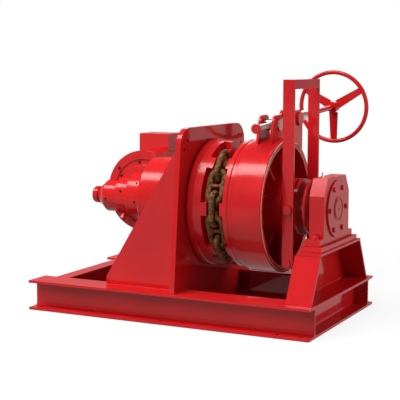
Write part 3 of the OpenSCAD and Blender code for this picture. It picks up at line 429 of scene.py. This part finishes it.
@dataclass
class ScrewRing:
    """Hexagon screws with washers on part of a circle, heads along the ring's own axis."""

    name: str
    count: int
    pitch_r: float
    head_r: float
    head_h: float
    first_deg: float = 0.0
    sweep_deg: float = 360.0
    washer_share: float = 0.22

    def mesh(self, finish: Finish) -> bpy.types.Mesh:
        """Grows the ring in its own X-Y plane.

        Args:
            finish: The finish of the screws.

        Returns:
            The mesh of all the screws.
        """
        full = self.sweep_deg >= 360.0
        sweep = 360.0 * (self.count - 1) / self.count if full else self.sweep_deg
        rule = Rule(
            self.name,
            {
                "Count": ("NodeSocketInt", self.count),
                "Pitch Radius": ("NodeSocketFloat", self.pitch_r),
                "Start": ("NodeSocketFloat", math.radians(self.first_deg)),
                "Sweep": ("NodeSocketFloat", math.radians(sweep)),
                "Head Radius": ("NodeSocketFloat", self.head_r),
                "Head Height": ("NodeSocketFloat", self.head_h),
            },
        )
        arc = rule.add(
            "GeometryNodeCurveArc",
            links={
                "Resolution": rule.given("Count"),
                "Radius": rule.given("Pitch Radius"),
                "Start Angle": rule.given("Start"),
                "Sweep Angle": rule.given("Sweep"),
            },
        )
        thin = rule.add(
            "ShaderNodeMath", {1: self.washer_share}, {0: rule.given("Head Height")},
            operation="MULTIPLY",
        )
        wide = rule.add(
            "ShaderNodeMath", {1: 1.16}, {0: rule.given("Head Radius")}, operation="MULTIPLY"
        )
        washer = rule.add(
            "GeometryNodeMeshCylinder", {"Vertices": 28},
            {"Radius": wide.outputs[0], "Depth": thin.outputs[0]},
        )
        tall = rule.add(
            "ShaderNodeMath", links={0: rule.given("Head Height"), 1: thin.outputs[0]},
            operation="SUBTRACT",
        )
        body_h = rule.add("ShaderNodeMath", {1: 0.8}, {0: tall.outputs[0]}, operation="MULTIPLY")
        cap_h = rule.add("ShaderNodeMath", {1: 0.2}, {0: tall.outputs[0]}, operation="MULTIPLY")
        body = rule.add(
            "GeometryNodeMeshCylinder", {"Vertices": 6},
            {"Radius": rule.given("Head Radius"), "Depth": body_h.outputs[0]},
        )
        inner = rule.add(
            "ShaderNodeMath", {1: 0.8}, {0: rule.given("Head Radius")}, operation="MULTIPLY"
        )
        cap = rule.add(
            "GeometryNodeMeshCone", {"Vertices": 6},
            {
                "Radius Bottom": rule.given("Head Radius"),
                "Radius Top": inner.outputs[0],
                "Depth": cap_h.outputs[0],
            },
        )
        washer_up = self._lift(rule, washer.outputs["Mesh"], [(thin, 0.5)])
        body_up = self._lift(rule, body.outputs["Mesh"], [(thin, 1.0), (body_h, 0.5)])
        cap_up = self._lift(rule, cap.outputs["Mesh"], [(thin, 1.0), (body_h, 1.0)])
        head = rule.add("GeometryNodeJoinGeometry")
        for part in (washer_up, body_up, cap_up):
            rule.tree.links.new(part, head.inputs[0])
        spread = rule.add(
            "GeometryNodeInstanceOnPoints",
            links={"Points": arc.outputs["Curve"], "Instance": head.outputs[0]},
        )
        return rule.grow(spread.outputs["Instances"], finish)

    @staticmethod
    def _lift(
        rule: Rule, shape: bpy.types.NodeSocket, steps: list[tuple[bpy.types.Node, float]]
    ) -> bpy.types.NodeSocket:
        """Moves a shape up by a sum of heights.

        Args:
            rule: The tree.
            shape: The geometry to move.
            steps: Nodes that give heights, each with its share.

        Returns:
            The moved geometry.
        """
        total = None
        for node, share in steps:
            part = rule.add(
                "ShaderNodeMath", {1: share}, {0: node.outputs[0]}, operation="MULTIPLY"
            )
            if total is None:
                total = part
            else:
                total = rule.add(
                    "ShaderNodeMath", links={0: total.outputs[0], 1: part.outputs[0]},
                    operation="ADD",
                )
        up = rule.add("ShaderNodeCombineXYZ", links={"Z": total.outputs[0]})
        moved = rule.add(
            "GeometryNodeTransform", links={"Geometry": shape, "Translation": up.outputs[0]}
        )
        return moved.outputs["Geometry"]


@dataclass
class WeldBeads:
    """Rippled fillet welds along straight joints."""

    name: str
    paths: list[tuple[Vector, Vector]]
    bead_r: float = 3.6 * MM
    ripple: float = 5.2 * MM

    def mesh(self, finish: Finish) -> bpy.types.Mesh:
        """Grows one bead per ripple along every path.

        Args:
            finish: The paint over the beads.

        Returns:
            The mesh of all the beads.
        """
        seed = bpy.data.meshes.new(self.name)
        points = [point for path in self.paths for point in path]
        edges = [(i, i + 1) for i in range(0, len(points), 2)]
        seed.from_pydata(points, edges, [])
        rule = Rule(
            self.name,
            {
                "Bead Radius": ("NodeSocketFloat", self.bead_r),
                "Ripple": ("NodeSocketFloat", self.ripple),
            },
        )
        curve = rule.add("GeometryNodeMeshToCurve", links={"Mesh": rule.given("Geometry")})
        points_on = rule.add(
            "GeometryNodeCurveToPoints",
            links={"Curve": curve.outputs["Curve"], "Length": rule.given("Ripple")},
            mode="LENGTH",
        )
        bead = rule.add(
            "GeometryNodeMeshUVSphere", {"Segments": 8, "Rings": 5},
            {"Radius": rule.given("Bead Radius")},
        )
        smooth = rule.add("GeometryNodeSetShadeSmooth", links={"Geometry": bead.outputs["Mesh"]})
        spread = rule.add(
            "GeometryNodeInstanceOnPoints", {"Scale": (1.0, 1.0, 0.95)},
            {
                "Points": points_on.outputs["Points"],
                "Instance": smooth.outputs[0],
                "Rotation": points_on.outputs["Rotation"],
            },
        )
        return rule.grow(spread.outputs["Instances"], finish, seed)


@dataclass
class StudLink:
    """One forged stud link, lying in the X-Y plane with its length along Y."""

    length: float
    width: float
    wire: float
    turns: int = 14
    sides: int = 16

    def mesh(self) -> bpy.types.Mesh:
        """Sweeps the wire round the link and adds the flared stud.

        Returns:
            The link's mesh.
        """
        wire_r = self.wire / 2
        bend_r = self.width / 2 - wire_r
        straight = self.length / 2 - self.width / 2
        path: list[tuple[Vector, Vector]] = []
        for end, base in ((1, 0.0), (-1, math.pi)):
            for i in range(self.turns + 1):
                a = base + math.pi * i / self.turns
                out = Vector((math.cos(a), math.sin(a), 0.0))
                path.append((out * bend_r + Vector((0, end * straight, 0)), out))
            if end == 1:
                side = Vector((-1.0, 0.0, 0.0))
                path += [(Vector((-bend_r, straight * s, 0)), side) for s in (0.5, 0.0, -0.5)]
            else:
                side = Vector((1.0, 0.0, 0.0))
                path += [(Vector((bend_r, straight * s, 0)), side) for s in (-0.5, 0.0, 0.5)]
        made = bmesh.new()
        up = Vector((0, 0, 1))
        rings = []
        for centre, out in path:
            ring = []
            for j in range(self.sides):
                a = 2 * math.pi * j / self.sides
                ring.append(
                    made.verts.new(centre + out * wire_r * math.cos(a) + up * wire_r * math.sin(a))
                )
            rings.append(ring)
        for ring, ahead in zip(rings, rings[1:] + rings[:1]):
            for j in range(self.sides):
                k = (j + 1) % self.sides
                made.faces.new((ring[j], ahead[j], ahead[k], ring[k]))
        self._stud(made, bend_r, wire_r)
        bmesh.ops.recalc_face_normals(made, faces=made.faces[:])
        mesh = bpy.data.meshes.new("stud_link")
        made.to_mesh(mesh)
        made.free()
        mesh.shade_smooth()
        return mesh

    def _stud(self, made: bmesh.types.BMesh, bend_r: float, wire_r: float) -> None:
        """Adds the cross stud, wider where it meets the wire.

        Args:
            made: The mesh in the making.
            bend_r: Distance of the wire's middle line from the link's.
            wire_r: Radius of the wire.
        """
        reach = bend_r - wire_r * 0.35
        rings = []
        for i in range(13):
            share = i / 12 * 2 - 1
            radius = wire_r * (0.62 + 0.5 * abs(share) ** 3)
            rings.append(
                [
                    made.verts.new(
                        (
                            share * reach,
                            radius * math.cos(2 * math.pi * j / self.sides),
                            radius * math.sin(2 * math.pi * j / self.sides) * 0.86,
                        )
                    )
                    for j in range(self.sides)
                ]
            )
        for ring, ahead in zip(rings, rings[1:]):
            for j in range(self.sides):
                k = (j + 1) % self.sides
                made.faces.new((ring[j], ring[k], ahead[k], ahead[j]))
        made.faces.new(rings[0])
        made.faces.new(rings[-1])


@dataclass
class SubAssembly:
    """A group of CAD nodes with their finishes."""

    finishes: dict[str, Finish] = field(default_factory=dict)

    def dress(self) -> None:
        """Gives each node of the group its finish."""
        for node, finish in self.finishes.items():
            piece = frame["nodes"][node]
            if piece.hide_render:
                continue
            piece.data.materials.clear()
            piece.data.materials.append(finish.material())
            LOG.info("%s: %s", node, finish.name)

    def build(self) -> None:
        """Adds the group's own small parts."""


def edge(a: tuple[float, float, float], b: tuple[float, float, float]) -> tuple[Vector, Vector]:
    """Makes one straight joint between two points.

    Args:
        a: One end.
        b: The other end.

    Returns:
        Both ends.
    """
    return Vector(a), Vector(b)


@dataclass
class Skid(SubAssembly):
    """Beams, gearbox plate, gussets and pedestal, welded together."""

    sink: float = 0.6 * MM

    def build(self) -> None:
        """Lays the weld beads along the plates' edges."""
        beads = WeldBeads("weld_beads", self._paths())
        add_piece("weld_beads", beads.mesh(ENAMEL), Body.SKID, ENAMEL)

    def _paths(self) -> list[tuple[Vector, Vector]]:
        """Works out every welded joint from the nodes' boxes.

        Returns:
            The joints' two ends each.
        """
        beam_low, beam_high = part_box("front_beam")
        plate_low, plate_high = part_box("gearbox_plate")
        gusset_low, gusset_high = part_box("front_gusset")
        web_low, web_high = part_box("pedestal_web")
        leg_low, leg_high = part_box("pedestal_front_leg")
        deck = beam_high[2] + self.sink
        cut = 40 * MM
        paths = []
        for side in (-1, 1):
            inner, outer = side * abs(beam_high[1]), side * plate_high[1]
            for x in (plate_low[0] - self.sink, plate_high[0] + self.sink):
                paths.append(edge((x, inner, deck), (x, outer, deck)))
            for y in (side * abs(gusset_low[1]) + side * self.sink,
                      side * abs(gusset_high[1]) - side * self.sink):
                paths.append(edge((gusset_low[0], y, deck), (gusset_high[0] - cut, y, deck)))
                x = gusset_high[0] - self.sink
                paths.append(edge((x, y, deck + cut), (x, y, gusset_high[2] - cut / 2)))
            foot, top = side * abs(leg_low[1]), side * abs(leg_high[1])
            paths.append(
                edge((leg_low[0], foot + side * self.sink, deck),
                     (leg_high[0], foot + side * self.sink, deck))
            )
        reach = abs(leg_low[1]) - (web_high[0] - web_low[0])
        for x in (web_low[0] - self.sink, web_high[0] + self.sink):
            paths.append(edge((x, -reach, deck), (x, reach, deck)))
        return paths


@dataclass
class GearboxEnd(SubAssembly):
    """Gearbox, input stages, motor and valve block."""

    def build(self) -> None:
        """Adds the screws of the gearbox."""
        box_low, box_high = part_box("gearbox_screws")
        gear = middle("gearbox_housing")
        pitch = (box_high[2] - box_low[2]) / 2 - 9 * MM
        screws = ScrewRing(
            "gearbox_hex_screws", 6, pitch / math.cos(math.radians(15)), 9 * MM,
            box_high[0] - box_low[0], 105.0, 150.0,
        ).mesh(ENAMEL)
        screws.transform(
            Matrix.Translation((box_high[0], gear.y, gear.z))
            @ ON_SHAFT
            @ Matrix.Diagonal((1, 1, -1, 1))
        )
        screws.flip_normals()
        add_piece("gearbox_hex_screws", screws, Body.SKID, ENAMEL, ("gearbox_screws",))


@dataclass
class DrumLine(SubAssembly):
    """Shaft, chain wheel, drum, dog ring and chain."""

    wire: float = 29 * MM
    width: float = 104 * MM
    length: float = 192 * MM
    links: int = 5
    step_deg: float = 22.5
    pitch_r: float = 303 * MM

    def build(self) -> None:
        """Makes the chain and the drum's screws."""
        self._chain()
        low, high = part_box("drum_bolts")
        centre = middle("brake_drum")
        outer = (high[2] - low[2]) / 2
        screws = ScrewRing("drum_hex_screws", 8, outer - 15 * MM, 15 * MM, high[0] - low[0])
        mesh = screws.mesh(ENAMEL)
        mesh.transform(Matrix.Translation((low[0], centre.y, centre.z)) @ ON_SHAFT)
        add_piece("drum_hex_screws", mesh, Body.WHEEL, ENAMEL, ("drum_bolts",))

    def _chain(self) -> None:
        """Lays the links round the front of the wheel, flat and standing in turn."""
        link = StudLink(self.length, self.width, self.wire).mesh()
        first = 180.0 - self.step_deg * (self.links - 1) / 2
        rule = Rule(
            "stud_link_chain",
            {
                "Links": ("NodeSocketInt", self.links),
                "Pitch Radius": ("NodeSocketFloat", self.pitch_r),
                "Start": ("NodeSocketFloat", math.radians(first)),
                "Step": ("NodeSocketFloat", math.radians(self.step_deg)),
            },
        )
        less = rule.add("ShaderNodeMath", {1: 1.0}, {0: rule.given("Links")}, operation="SUBTRACT")
        sweep = rule.add(
            "ShaderNodeMath", links={0: less.outputs[0], 1: rule.given("Step")},
            operation="MULTIPLY",
        )
        arc = rule.add(
            "GeometryNodeCurveArc",
            links={
                "Resolution": rule.given("Links"),
                "Radius": rule.given("Pitch Radius"),
                "Start Angle": rule.given("Start"),
                "Sweep Angle": sweep.outputs[0],
            },
        )
        number = rule.add("GeometryNodeInputIndex")
        turned = rule.add(
            "ShaderNodeMath", links={0: number.outputs[0], 1: rule.given("Step")},
            operation="MULTIPLY",
        )
        heading = rule.add(
            "ShaderNodeMath", links={0: turned.outputs[0], 1: rule.given("Start")}, operation="ADD"
        )
        odd = rule.add("ShaderNodeMath", {1: 2.0}, {0: number.outputs[0]}, operation="MODULO")
        flat = rule.add(
            "ShaderNodeMath", {1: math.pi / 2}, {0: odd.outputs[0]}, operation="MULTIPLY"
        )
        turn = rule.add(
            "ShaderNodeCombineXYZ", links={"Y": flat.outputs[0], "Z": heading.outputs[0]}
        )
        spread = rule.add(
            "GeometryNodeInstanceOnPoints",
            links={
                "Points": arc.outputs["Curve"],
                "Instance": rule.given("Geometry"),
                "Rotation": turn.outputs[0],
            },
        )
        mesh = rule.grow(spread.outputs["Instances"], SCALE, link)
        shaft = middle("brake_drum")
        along = middle("chain").x
        mesh.transform(Matrix.Translation((along, shaft.y, shaft.z)) @ ON_SHAFT)
        add_piece("stud_link_chain", mesh, Body.WHEEL, SCALE, ("chain",))


@dataclass
class BearingEnd(SubAssembly):
    """Bearing housing with its cover, foot bolts and grease nipple."""

    def build(self) -> None:
        """Adds the cover's screws."""
        low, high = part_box("cover_screws")
        centre = middle("bearing_cover")
        pitch = (high[1] - low[1]) / 2 - 13 * MM
        mesh = ScrewRing("cover_hex_screws", 6, pitch, 13 * MM, high[0] - low[0]).mesh(ENAMEL)
        mesh.transform(Matrix.Translation((low[0], centre.y, centre.z)) @ ON_SHAFT)
        add_piece("cover_hex_screws", mesh, Body.SKID, ENAMEL, ("cover_screws",))


@dataclass
class ClutchLever(SubAssembly):
    """Clutch sleeve and the lever that shifts it."""


@dataclass
class BandBrake(SubAssembly):
    """Band halves, linings, trunnions, spindle and handwheel."""

    rod_r: float = 15 * MM
    ridge: float = 0.9 * MM
    pitch: float = 8 * MM
    disc_t: float = 12 * MM
    disc_r: float = 25.5 * MM
    collar_r: float = 27 * MM
    collar_l: float = 14 * MM
    sleeve_l: float = 150 * MM
    seat: float = 25.3 * MM
    chamfer: float = 1.5 * MM

    def build(self) -> None:
        """Makes the spindle's painted and bare lengths and the thread on its front end."""
        joints = frame["record"]["behaviour"]["joints"]
        joint = next(j for j in joints if j["name"] == "handwheel_turn")
        axis = Vector(joint["axis"]).normalized()
        rear = middle("rear_trunnion")
        foot = Vector(joint["pos_m"])
        foot = foot + axis * (rear.y - foot.y) / axis.y
        low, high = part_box("spindle")
        end = (low[1] - foot.y) / axis.y + self.disc_r * abs(axis.z / axis.y)
        tip = (high[1] - foot.y) / axis.y - self.rod_r * abs(axis.z / axis.y)
        turn = Vector((0, 0, 1)).rotation_difference(axis).to_matrix().to_4x4()
        self.place = Matrix.Translation(foot) @ turn
        after = self.seat + self.sleeve_l
        lengths = {
            "spindle_end_disc": (end, end + self.disc_t, self.disc_r, ENAMEL),
            "spindle_front_rod": (end + self.disc_t, self.seat, self.rod_r, TURNED),
            "spindle_collar": (-self.seat - self.collar_l, -self.seat, self.collar_r, ENAMEL),
            "spindle_thrust_sleeve": (self.seat, after, self.collar_r, TURNED),
            "spindle_rear_rod": (after, tip, self.rod_r, ENAMEL),
        }
        for name, (start, stop, radius, finish) in lengths.items():
            c = self.chamfer
            profile = [
                (start, radius - c), (start + c, radius), (stop - c, radius), (stop, radius - c)
            ]
            mesh = turned(profile, self.place, finish)
            add_piece(name, mesh, Body.SPINDLE, finish, ("spindle",))
        self._thread(end + self.disc_t, -self.seat - self.collar_l)

    def _thread(self, start: float, stop: float) -> None:
        """Winds the thread on the front rod.

        Args:
            start: Where the thread starts along the spindle.
            stop: Where it ends.
        """
        length = stop - start
        rule = Rule(
            "spindle_thread",
            {
                "Turns": ("NodeSocketFloat", length / self.pitch),
                "Radius": ("NodeSocketFloat", self.rod_r),
                "Length": ("NodeSocketFloat", length),
                "Ridge": ("NodeSocketFloat", self.ridge),
            },
        )
        helix = rule.add(
            "GeometryNodeCurveSpiral", {"Resolution": 24},
            {
                "Rotations": rule.given("Turns"),
                "Start Radius": rule.given("Radius"),
                "End Radius": rule.given("Radius"),
                "Height": rule.given("Length"),
            },
        )
        ridge = rule.add(
            "GeometryNodeCurvePrimitiveCircle", {"Resolution": 6}, {"Radius": rule.given("Ridge")}
        )
        tube = rule.add(
            "GeometryNodeCurveToMesh", {"Fill Caps": True},
            {"Curve": helix.outputs["Curve"], "Profile Curve": ridge.outputs["Curve"]},
        )
        mesh = rule.grow(tube.outputs["Mesh"], TURNED)
        mesh.transform(self.place @ Matrix.Translation((0, 0, start)))
        add_piece("spindle_thread", mesh, Body.SPINDLE, TURNED)


@dataclass
class Studio:
    """White room, soft lamps and the photograph's camera."""

    eye: tuple[float, float, float] = (2.64685, -5.28334, 1.30249)
    tilt_deg: float = 83.117
    turn_deg: float = 26.745
    focal_px: float = 1097.384
    image_px: float = 400.0
    sensor_mm: float = 36.0
    target: tuple[float, float, float] = (0.1, 0.0, 0.55)

    def build(self) -> None:
        """Makes the camera, the floor, the world and the lamps."""
        self._camera()
        self._floor()
        self._world()
        side, across = Vector((1, 0, 0)), Vector((0, 1, 0))
        self._lamp("key_softbox", (-1.75, -2.6, 6.5), (6.0, 2.2), 580.0, side)
        self._lamp("front_softbox", (-1.2, -5.6, 4.2), (3.5, 2.5), 160.0, side, False)
        self._lamp("right_softbox", (6.0, 1.6, 2.2), (3.0, 3.0), 130.0, across)
        self._lamp("rear_softbox", (-1.5, 5.5, 3.5), (3.5, 2.5), 90.0, side)

    def _camera(self) -> None:
        """Puts the camera where the photograph was taken from."""
        data = bpy.data.cameras.new("photo_camera")
        data.sensor_width = self.sensor_mm
        data.lens = self.focal_px / self.image_px * self.sensor_mm
        camera = bpy.data.objects.new("photo_camera", data)
        camera.location = self.eye
        camera.rotation_euler = (math.radians(self.tilt_deg), 0.0, math.radians(self.turn_deg))
        bpy.context.scene.collection.objects.link(camera)
        bpy.context.scene.camera = camera

    def _floor(self) -> None:
        """Lays a pale floor that shows white to the eye and keeps the winch's shadow."""
        half = 30.0
        mesh = bpy.data.meshes.new("floor")
        corners = [(-half, -half, 0), (half, -half, 0), (half, half, 0), (-half, half, 0)]
        mesh.from_pydata([(x, y, -0.5 * MM) for x, y, _ in corners], [], [(0, 1, 2, 3)])
        floor = bpy.data.objects.new("floor", mesh)
        bpy.context.scene.collection.objects.link(floor)
        made = bpy.data.materials.new("white_studio_floor")
        made.use_nodes = True
        tree = made.node_tree
        tree.nodes.clear()
        seen = self._seen(tree, 1.0)
        tone = add_node(
            tree, "ShaderNodeMapRange", {"To Min": 0.2, "To Max": 0.8}, {"Value": seen}
        )
        matt = add_node(tree, "ShaderNodeBsdfDiffuse", links={"Color": tone.outputs["Result"]})
        white = add_node(tree, "ShaderNodeEmission", {"Color": (1, 1, 1, 1), "Strength": 1.0})
        place = add_node(tree, "ShaderNodeTexCoord")
        away = add_node(
            tree, "ShaderNodeVectorMath", links={0: place.outputs["Object"]}, operation="LENGTH"
        )
        near = add_node(
            tree, "ShaderNodeMapRange",
            {"From Min": 1.6, "From Max": 3.0, "To Min": 0.86, "To Max": 1.0},
            {"Value": away.outputs["Value"]},
        )
        share = add_node(
            tree, "ShaderNodeMath", links={0: seen, 1: near.outputs["Result"]},
            operation="MULTIPLY",
        )
        mix = add_node(
            tree, "ShaderNodeMixShader",
            links={"Fac": share.outputs[0], 1: matt.outputs[0], 2: white.outputs[0]},
        )
        add_node(tree, "ShaderNodeOutputMaterial", links={"Surface": mix.outputs[0]})
        mesh.materials.append(made)

    @staticmethod
    def _seen(tree: bpy.types.NodeTree, gloss_share: float) -> bpy.types.NodeSocket:
        """Finds the rays that see the white room: from the camera, a glass or, in part, a gloss.

        Args:
            tree: The tree that asks.
            gloss_share: How much of the white a glossy ray sees.

        Returns:
            A socket with 1 for the camera's rays and 0 for a matt surface's.
        """
        path = add_node(tree, "ShaderNodeLightPath")
        shine = add_node(
            tree, "ShaderNodeMath", {1: gloss_share}, {0: path.outputs["Is Glossy Ray"]},
            operation="MULTIPLY",
        )
        gloss = add_node(
            tree, "ShaderNodeMath",
            links={0: path.outputs["Is Camera Ray"], 1: shine.outputs[0]},
            operation="MAXIMUM",
        )
        every = add_node(
            tree, "ShaderNodeMath",
            links={0: gloss.outputs[0], 1: path.outputs["Is Transmission Ray"]},
            operation="MAXIMUM",
        )
        return every.outputs[0]

    def _world(self) -> None:
        """Lights the room, more from its walls than its ceiling, and shows it white."""
        world = bpy.data.worlds.new("white_room")
        bpy.context.scene.world = world
        world.use_nodes = True
        tree = world.node_tree
        tree.nodes.clear()
        way = add_node(tree, "ShaderNodeTexCoord")
        height = add_node(tree, "ShaderNodeSeparateXYZ", links={0: way.outputs["Generated"]})
        fade = add_node(
            tree, "ShaderNodeMapRange", {"To Min": 0.42, "To Max": 0.06},
            {"Value": height.outputs["Z"]},
        )
        strength = add_node(
            tree, "ShaderNodeMapRange", {"To Max": 1.0},
            {"Value": self._seen(tree, 0.12), "To Min": fade.outputs["Result"]},
        )
        glow = add_node(
            tree, "ShaderNodeBackground", {"Color": (1, 1, 1, 1)},
            {"Strength": strength.outputs["Result"]},
        )
        add_node(tree, "ShaderNodeOutputWorld", links={"Surface": glow.outputs[0]})

    def _lamp(
        self,
        name: str,
        place: tuple[float, float, float],
        size: tuple[float, float],
        watts: float,
        along: Vector,
        shines: bool = True,
    ) -> None:
        """Hangs one soft lamp that faces the winch.

        Args:
            name: The lamp's name.
            place: Where it hangs, in metres.
            size: Its width and height.
            watts: Its power.
            along: The direction that its width follows.
            shines: False where glossy paint doesn't mirror it.
        """
        data = bpy.data.lights.new(name, "AREA")
        data.shape = "RECTANGLE"
        data.size, data.size_y = size
        data.energy = watts
        lamp = bpy.data.objects.new(name, data)
        lamp.location = place
        lamp.visible_glossy = shines
        back = (Vector(place) - Vector(self.target)).normalized()
        wide = (along - back * along.dot(back)).normalized()
        lamp.rotation_euler = Matrix((wide, back.cross(wide), back)).transposed().to_euler()
        bpy.context.scene.collection.objects.link(lamp)


def same(finish: Finish, *nodes: str) -> dict[str, Finish]:
    """Gives several nodes one finish.

    Args:
        finish: The finish.
        *nodes: The nodes' names.

    Returns:
        Node name to finish.
    """
    return {node: finish for node in nodes}


def main() -> None:
    """Builds and dresses every sub-assembly, then lights the scene."""
    logging.basicConfig(level=logging.INFO, format="%(name)s %(message)s")
    parts: list[SubAssembly] = [
        Skid(
            same(
                ENAMEL, "front_beam", "rear_beam", "left_cross_beam", "middle_cross_beam",
                "right_cross_beam", "gearbox_plate", "front_gusset", "rear_gusset",
                "pedestal_front_leg", "pedestal_rear_leg", "pedestal_web", "pedestal_top_plate",
                "shim", "lever_brackets", "anchor_bracket",
            )
        ),
        GearboxEnd(
            same(
                ENAMEL_CAST, "gearbox_housing", "input_stages", "brake_housing", "nose_cap",
                "motor_body", "motor_cover", "port_fittings",
            )
            | same(ENAMEL, "gearbox_screws", "valve_block", "valve_lid", "valve_screws")
            | same(BLACKENED, "stage_plugs", "motor_screws")
            | same(TURNED, "output_bearing")
        ),
        DrumLine(
            same(ENAMEL_CAST, "chain_wheel", "brake_drum", "stop_disc", "dog_ring")
            | same(TURNED, "drive_shaft", "feather_keys", "bearing_inner_ring", "bearing_rollers",
                   "shaft_end_plate")
            | same(ENAMEL, "drum_bolts")
            | same(BRONZE, "hub_bushes")
            | same(SCALE, "chain")
        ),
        BearingEnd(
            same(ENAMEL_CAST, "bearing_housing", "bearing_cover")
            | same(ENAMEL, "cover_screws", "foot_bolts")
            | same(TURNED, "grease_nipple")
            | same(TURNED, "bearing_outer_ring")
        ),
        ClutchLever(
            same(ENAMEL_CAST, "clutch_sleeve")
            | same(ENAMEL, "lever_frame", "shifter_pins", "lever_pivot_pins")
        ),
        BandBrake(
            same(ENAMEL, "rear_trunnion")
            | same(ENAMEL_CAST, "front_band", "rear_band", "handwheel")
            | same(WOVEN, "front_lining", "rear_lining")
            | same(TURNED, "front_trunnion", "spindle", "anchor_pin")
        ),
    ]
    for part in parts:
        part.build()
        part.dress()
        LOG.info("%s done", type(part).__name__)
    Studio().build()
    bpy.context.scene.view_settings.view_transform = "Standard"


if __name__ == "__main__":
    main()
